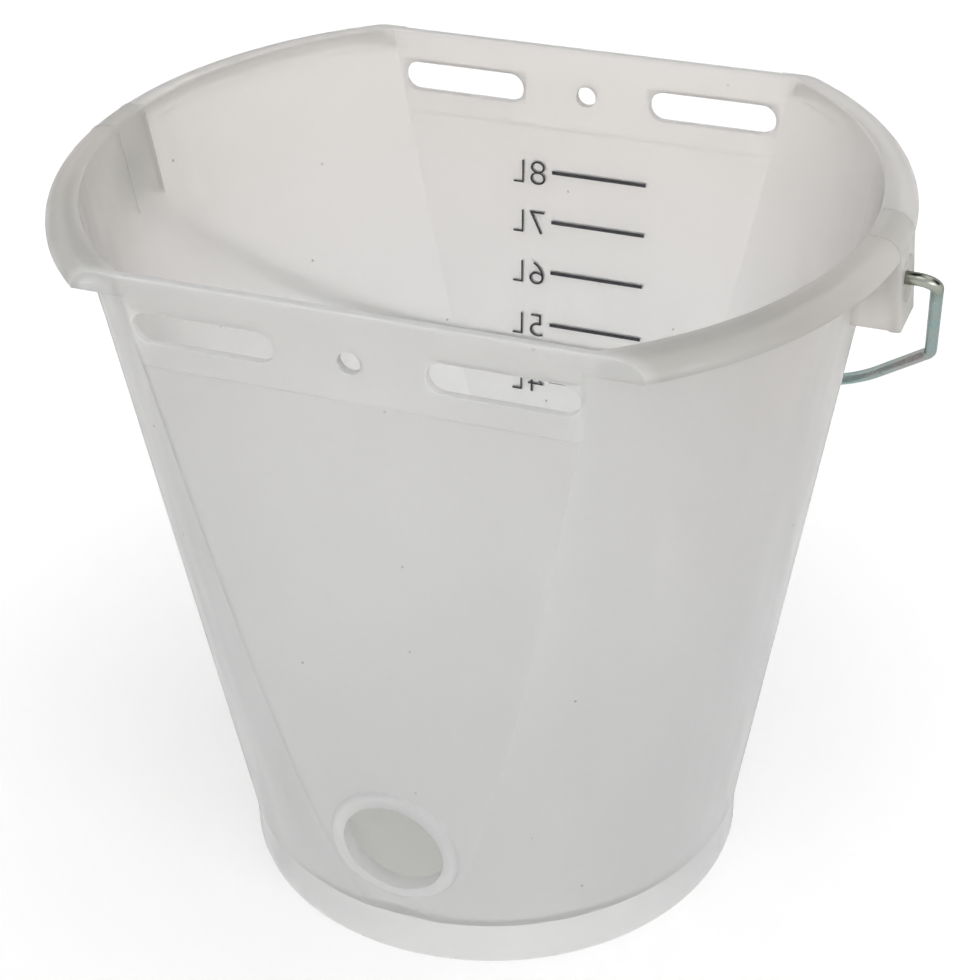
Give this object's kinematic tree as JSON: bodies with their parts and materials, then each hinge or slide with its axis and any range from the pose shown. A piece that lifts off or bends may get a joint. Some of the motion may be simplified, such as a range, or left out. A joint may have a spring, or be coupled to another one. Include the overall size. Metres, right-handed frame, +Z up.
{
  "type": "calf feeding bucket",
  "caption": "Tapered round bucket with two flat sides, slotted band, half-round rim, teat hole low in the front and a swinging wire bail.",
  "frame": {"origin": "middle of the foot, on the ground", "axes": "+Z up, -Y out of the front flat side that has the teat hole, +X along the bail's hinge axis"},
  "size_m": [0.3224, 0.2288, 0.28],
  "materials": {
    "natural_plastic": "satin, slightly translucent natural moulding",
    "zinc_wire": "bright zinc plating with a blue-green cast",
    "scale_ink": "flat dark grey printed ink"
  },
  "bodies": {
    "bucket": {"bucket_body": "natural_plastic"},
    "bail": {"bail": "zinc_wire"}
  },
  "joints": [
    {"name": "bail_swing", "type": "hinge", "parent": "bucket", "child": "bail", "pos_m": [0, 0, 0.2615], "axis": [1, 0, 0], "range_deg": [0, 269.5]}
  ]
}
